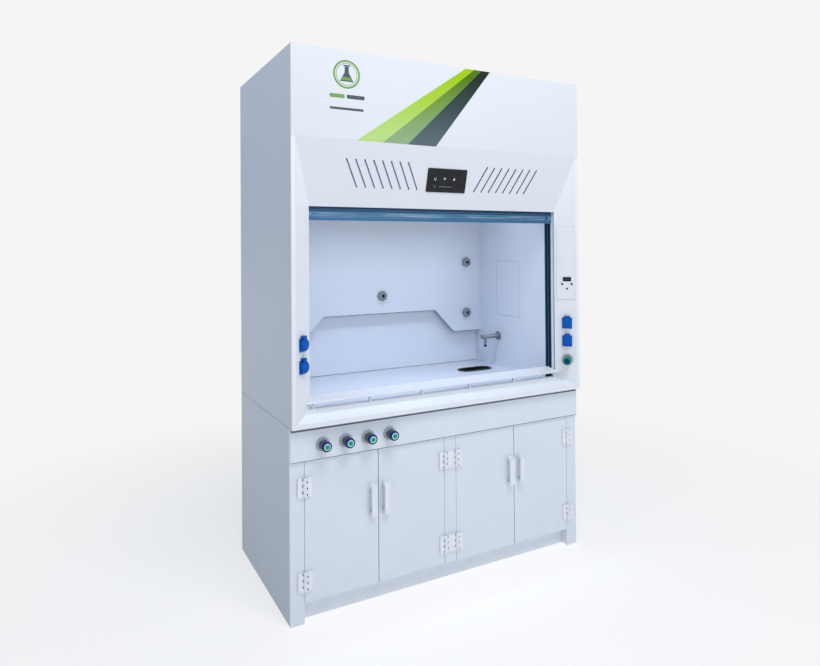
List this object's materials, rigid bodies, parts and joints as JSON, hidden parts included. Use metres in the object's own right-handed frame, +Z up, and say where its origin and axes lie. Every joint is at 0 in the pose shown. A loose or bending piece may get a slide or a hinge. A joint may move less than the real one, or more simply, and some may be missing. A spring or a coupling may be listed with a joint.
{
  "type": "fume hood",
  "caption": "Floor-standing laboratory fume hood with a splayed opening, telescopic sash, baffled chamber, cup sink, service valves and a hinged-door base cabinet.",
  "frame": {"origin": "bottom centre of the bounding box, on the floor", "axes": "+Z up, +X to the right of someone facing the hood, -Y out of the front"},
  "size_m": [1.5, 0.9168, 2.43],
  "materials": {
    "pp_white": "satin",
    "pp_shell": "satin",
    "pp_liner": "satin",
    "pp_black": "satin",
    "pp_grey": "satin",
    "grey_plastic": "satin",
    "nylon_white": "satin",
    "navy_profile": "semi-gloss",
    "sash_blue": "gloss",
    "glass": "clear",
    "screen_glass": "gloss",
    "steel": "brushed",
    "grey_metal": "satin",
    "socket_blue": "gloss",
    "knob_navy": "gloss",
    "knob_green": "gloss",
    "iron": "cast"
  },
  "bodies": {
    "hood": {"base_sides": "pp_shell", "base_back": "pp_shell", "base_floor": "pp_shell", "base_dividers": "pp_shell", "face_frame": "pp_white", "toe_kick": "pp_shell", "apron": "pp_white", "worktop": "pp_liner", "cup_sink": "pp_black", "hood_side_left": "pp_shell", "hood_side_right": "pp_shell", "hood_back": "pp_shell", "roof": "pp_shell", "duct_collar": "pp_grey", "header_panel": "pp_white", "front_bezel": "pp_white", "top_splay": "pp_white", "splay_left": "pp_white", "splay_right": "pp_white", "sill": "pp_white", "liners": "pp_liner", "ceiling": "pp_liner", "upper_baffle": "pp_liner", "lower_baffle": "pp_liner", "baffle_knobs": "grey_plastic", "airfoil": "pp_white", "sash_guides": "navy_profile", "touch_panel": "screen_glass", "control_cover": "pp_white", "access_panel": "pp_liner", "screws": "steel", "tap": "steel", "socket_bases": "socket_blue", "valve_bodies": "grey_metal", "hinge_leaves": "nylon_white"},
    "sash_lower": {"sash_lower_frame": "sash_blue", "sash_lower_glass": "glass"},
    "sash_upper": {"sash_upper_frame": "sash_blue", "sash_upper_glass": "glass"},
    "counterweights": {"counterweights": "iron"},
    "button_left": {"button_left": "pp_black"},
    "button_right": {"button_right": "pp_black"},
    "button_low": {"button_low": "pp_black"},
    "lid_left_top": {"lid_left_top": "socket_blue"},
    "lid_left_low": {"lid_left_low": "socket_blue"},
    "lid_right_top": {"lid_right_top": "socket_blue"},
    "lid_right_low": {"lid_right_low": "socket_blue"},
    "gas_knob_1": {"gas_knob_1": "knob_navy"},
    "gas_knob_2": {"gas_knob_2": "knob_navy"},
    "gas_knob_3": {"gas_knob_3": "knob_navy"},
    "gas_knob_4": {"gas_knob_4": "knob_navy"},
    "water_knob": {"water_knob": "knob_green"},
    "door_1": {"door_1": "pp_white", "door_fittings_1": "nylon_white"},
    "door_2": {"door_2": "pp_white", "door_fittings_2": "nylon_white"},
    "door_3": {"door_3": "pp_white", "door_fittings_3": "nylon_white"},
    "door_4": {"door_4": "pp_white", "door_fittings_4": "nylon_white"}
  },
  "joints": [
    {"name": "sash_lower_slide", "type": "slide", "parent": "hood", "child": "sash_lower", "axis": [0, 0, 1], "range_m": [-0.738, 0]},
    {"name": "sash_upper_slide", "type": "slide", "parent": "hood", "child": "sash_upper", "axis": [0, 0, 1], "range_m": [-0.369, 0]},
    {"name": "counterweight_slide", "type": "slide", "parent": "hood", "child": "counterweights", "axis": [0, 0, 1], "range_m": [0, 0.738]},
    {"name": "button_left_press", "type": "slide", "parent": "hood", "child": "button_left", "axis": [0.6839, 0.7295, 0], "range_m": [0, 0.0012], "stiffness_N_per_m": 500},
    {"name": "button_right_press", "type": "slide", "parent": "hood", "child": "button_right", "axis": [0.6839, 0.7295, 0], "range_m": [0, 0.0012], "stiffness_N_per_m": 500},
    {"name": "button_low_press", "type": "slide", "parent": "hood", "child": "button_low", "axis": [0.6839, 0.7295, 0], "range_m": [0, 0.0012], "stiffness_N_per_m": 500},
    {"name": "lid_left_top_hinge", "type": "hinge", "parent": "hood", "child": "lid_left_top", "pos_m": [-0.6919, -0.39906, 1.165], "axis": [-0.7295, -0.6839, 0], "range_deg": [0, 110], "stiffness_Nm_per_rad": 0.02},
    {"name": "lid_left_low_hinge", "type": "hinge", "parent": "hood", "child": "lid_left_low", "pos_m": [-0.6919, -0.39906, 1.074], "axis": [-0.7295, -0.6839, 0], "range_deg": [0, 110], "stiffness_Nm_per_rad": 0.02},
    {"name": "lid_right_top_hinge", "type": "hinge", "parent": "hood", "child": "lid_right_top", "pos_m": [0.6919, -0.39906, 1.165], "axis": [-0.7295, 0.6839, 0], "range_deg": [0, 110], "stiffness_Nm_per_rad": 0.02},
    {"name": "lid_right_low_hinge", "type": "hinge", "parent": "hood", "child": "lid_right_low", "pos_m": [0.6919, -0.39906, 1.074], "axis": [-0.7295, 0.6839, 0], "range_deg": [0, 110], "stiffness_Nm_per_rad": 0.02},
    {"name": "gas_knob_1_turn", "type": "hinge", "parent": "hood", "child": "gas_knob_1", "pos_m": [-0.615, -0.44, 0.72], "axis": [0, -1, 0], "range_deg": [0, 270]},
    {"name": "gas_knob_2_turn", "type": "hinge", "parent": "hood", "child": "gas_knob_2", "pos_m": [-0.514, -0.44, 0.72], "axis": [0, -1, 0], "range_deg": [0, 270]},
    {"name": "gas_knob_3_turn", "type": "hinge", "parent": "hood", "child": "gas_knob_3", "pos_m": [-0.413, -0.44, 0.72], "axis": [0, -1, 0], "range_deg": [0, 270]},
    {"name": "gas_knob_4_turn", "type": "hinge", "parent": "hood", "child": "gas_knob_4", "pos_m": [-0.312, -0.44, 0.72], "axis": [0, -1, 0], "range_deg": [0, 270]},
    {"name": "water_knob_turn", "type": "hinge", "parent": "hood", "child": "water_knob", "pos_m": [0.67035, -0.42204, 0.946], "axis": [-0.6839, -0.7295, 0], "range_deg": [0, 270]},
    {"name": "door_1_hinge", "type": "hinge", "parent": "hood", "child": "door_1", "pos_m": [-0.69, -0.396, 0.363], "axis": [0, 0, 1], "range_deg": [-110, 0]},
    {"name": "door_2_hinge", "type": "hinge", "parent": "hood", "child": "door_2", "pos_m": [-0.03, -0.396, 0.363], "axis": [0, 0, 1], "range_deg": [0, 90]},
    {"name": "door_3_hinge", "type": "hinge", "parent": "hood", "child": "door_3", "pos_m": [0.03, -0.396, 0.363], "axis": [0, 0, 1], "range_deg": [-90, 0]},
    {"name": "door_4_hinge", "type": "hinge", "parent": "hood", "child": "door_4", "pos_m": [0.69, -0.396, 0.363], "axis": [0, 0, 1], "range_deg": [0, 110]}
  ],
  "couplings": [
    {"joint": "sash_upper_slide", "follows": "sash_lower_slide", "ratio": 0.5},
    {"joint": "counterweight_slide", "follows": "sash_lower_slide", "ratio": -1}
  ]
}
